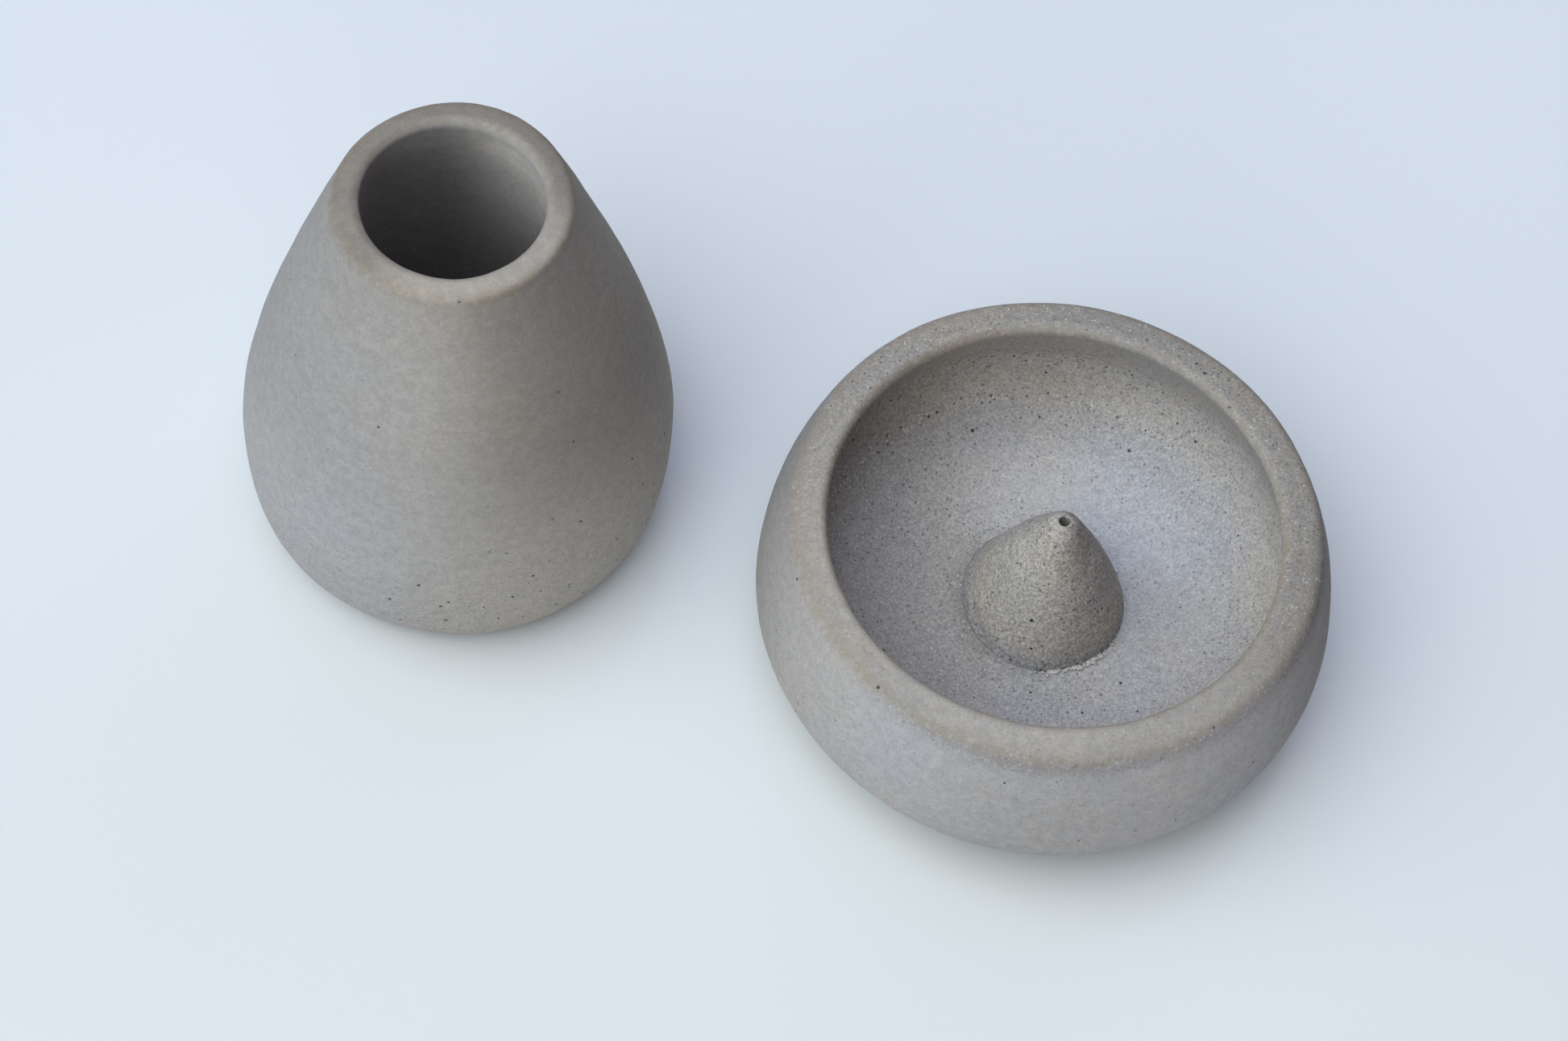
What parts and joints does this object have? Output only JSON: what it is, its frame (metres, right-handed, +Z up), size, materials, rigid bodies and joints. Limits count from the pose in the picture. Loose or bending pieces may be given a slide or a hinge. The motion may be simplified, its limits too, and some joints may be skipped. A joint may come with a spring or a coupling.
{
  "type": "incense bowl and pot set",
  "caption": "Low round incense bowl with a pierced cone in its floor, and a separate drop-shaped pot with a round mouth, in unglazed stoneware.",
  "frame": {"origin": "on the bowl's axis, at the middle of its flat foot, on the table", "axes": "+Z up along the stick hole, out of the cone's tip; +X along the longest side of the set, from the pot towards the bowl"},
  "size_m": [0.212, 0.1162, 0.0949],
  "materials": {
    "stoneware": "unglazed, fine sandy, matte"
  },
  "bodies": {
    "bowl_body": {"bowl": "stoneware", "cone": "stoneware"},
    "vessel_body": {"vessel": "stoneware"}
  },
  "joints": [
    {"name": "vessel_lift", "type": "slide", "parent": "bowl_body", "child": "vessel_body", "axis": [0, 0, 1], "range_m": [0, 0.12]}
  ]
}
